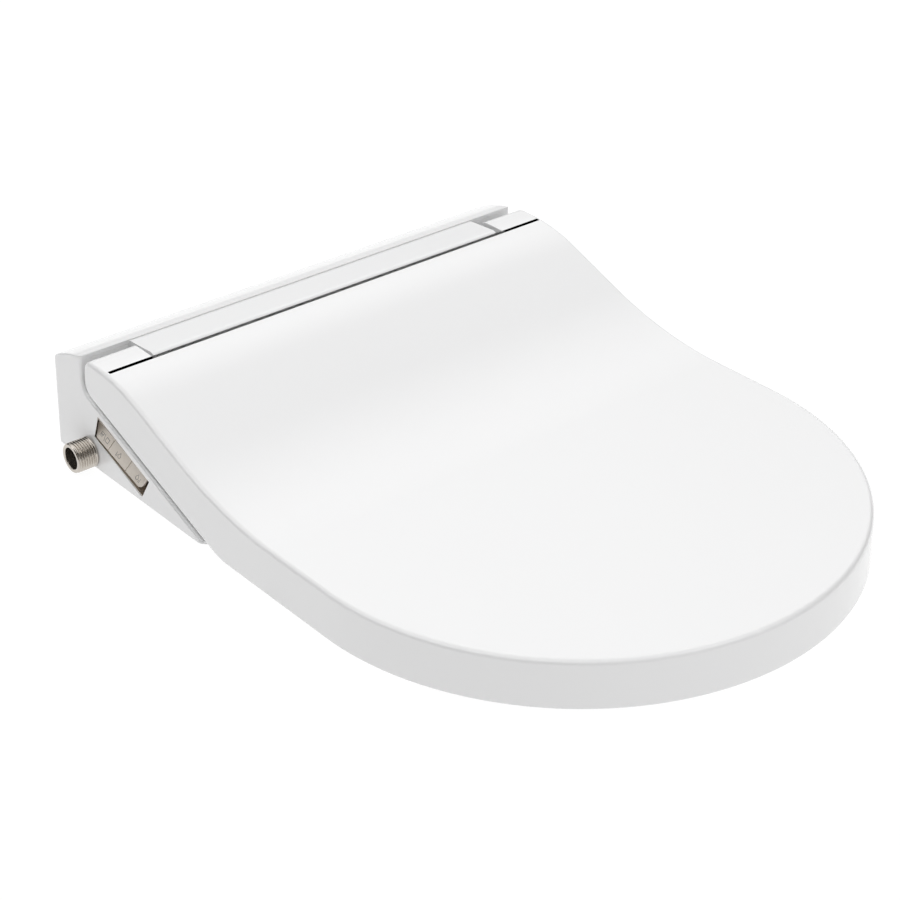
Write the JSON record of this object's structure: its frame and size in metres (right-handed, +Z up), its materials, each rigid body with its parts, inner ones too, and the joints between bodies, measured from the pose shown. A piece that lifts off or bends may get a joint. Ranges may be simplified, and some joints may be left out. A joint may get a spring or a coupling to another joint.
{
  "type": "electric bidet seat",
  "caption": "White D-shaped electric bidet seat with a sloping lid over a heated ring, rear housing, side control panel and half-inch water inlet.",
  "frame": {"origin": "midway between the two pan bolt holes, on the pan's top surface", "axes": "+Z up from the pan, -Y towards the front of the pan, +X to the right seen from the front"},
  "size_m": [0.3914, 0.4887, 0.0794],
  "materials": {
    "housing_white": "satin",
    "lid_white": "gloss",
    "seat_white": "gloss",
    "champagne_metal": "satin",
    "nickel": "polished",
    "steel": "satin",
    "rubber_grey": "matte",
    "rubber_white": "matte",
    "inner_plastic": "matte",
    "dark_plastic": "matte",
    "hose": "matte",
    "circuit_board": "satin",
    "heating_foil": "satin"
  },
  "bodies": {
    "housing": {"upper_housing": "housing_white", "base_plate": "housing_white", "base_pads": "rubber_grey", "housing_screws": "steel", "control_bezel": "champagne_metal", "button_board": "circuit_board", "inlet_fitting": "nickel", "inlet_strainer": "dark_plastic", "solenoid_valve": "inner_plastic", "supply_pipe": "hose", "heater_tank": "inner_plastic", "heater_pipe": "hose", "diverter_valve": "inner_plastic", "nozzle_guide": "inner_plastic", "rear_motor": "steel", "front_motor": "steel", "control_board": "circuit_board", "power_supply": "dark_plastic", "power_gland": "rubber_grey", "seat_damper": "dark_plastic", "lid_damper": "dark_plastic"},
    "stop_button": {"stop_button": "champagne_metal"},
    "rear_wash_button": {"rear_wash_button": "champagne_metal"},
    "front_wash_button": {"front_wash_button": "champagne_metal"},
    "rear_nozzle": {"rear_nozzle": "housing_white"},
    "front_nozzle": {"front_nozzle": "housing_white"},
    "rear_pinion": {"rear_pinion": "inner_plastic"},
    "front_pinion": {"front_pinion": "inner_plastic"},
    "release_button": {"release_button": "housing_white"},
    "mounting_plate": {"mounting_plate": "inner_plastic"},
    "seat": {"seat_top": "seat_white", "seat_bottom": "seat_white", "seat_heater": "heating_foil", "seat_buffers": "rubber_grey", "seat_shaft": "steel"},
    "lid": {"lid_shell": "lid_white", "lid_buffers": "rubber_white", "lid_shaft": "steel"}
  },
  "joints": [
    {"name": "seat_hinge", "type": "hinge", "parent": "housing", "child": "seat", "pos_m": [0, 0.001, 0.0675], "axis": [1, 0, 0], "range_deg": [-98, 0]},
    {"name": "lid_hinge", "type": "hinge", "parent": "seat", "child": "lid", "pos_m": [0, 0.001, 0.0675], "axis": [-1, 0, 0], "range_deg": [0, 105]},
    {"name": "stop_button_press", "type": "slide", "parent": "housing", "child": "stop_button", "axis": [1, 0, 0], "range_m": [0, 0.0012], "stiffness_N_per_m": 900, "springref_m": -0.0008},
    {"name": "rear_wash_button_press", "type": "slide", "parent": "housing", "child": "rear_wash_button", "axis": [1, 0, 0], "range_m": [0, 0.0012], "stiffness_N_per_m": 900, "springref_m": -0.0008},
    {"name": "front_wash_button_press", "type": "slide", "parent": "housing", "child": "front_wash_button", "axis": [1, 0, 0], "range_m": [0, 0.0012], "stiffness_N_per_m": 900, "springref_m": -0.0008},
    {"name": "release_button_press", "type": "slide", "parent": "housing", "child": "release_button", "axis": [-1, 0, 0], "range_m": [0, 0.003], "stiffness_N_per_m": 900, "springref_m": -0.0008},
    {"name": "plate_release", "type": "slide", "parent": "housing", "child": "mounting_plate", "axis": [0, 1, 0], "range_m": [0, 0.05]},
    {"name": "rear_nozzle_slide", "type": "slide", "parent": "housing", "child": "rear_nozzle", "axis": [0, -0.9272, -0.3746], "range_m": [0, 0.06]},
    {"name": "front_nozzle_slide", "type": "slide", "parent": "housing", "child": "front_nozzle", "axis": [0, -0.9272, -0.3746], "range_m": [0, 0.06]},
    {"name": "rear_pinion_spin", "type": "hinge", "parent": "housing", "child": "rear_pinion", "pos_m": [-0.0085, -0.04, 0.05149], "axis": [1, 0, 0], "continuous": true},
    {"name": "front_pinion_spin", "type": "hinge", "parent": "housing", "child": "front_pinion", "pos_m": [0.0085, -0.04, 0.05149], "axis": [1, 0, 0], "continuous": true}
  ],
  "couplings": [
    {"joint": "rear_pinion_spin", "follows": "rear_nozzle_slide", "rad_per_m": -166.67},
    {"joint": "front_pinion_spin", "follows": "front_nozzle_slide", "rad_per_m": -166.67}
  ]
}
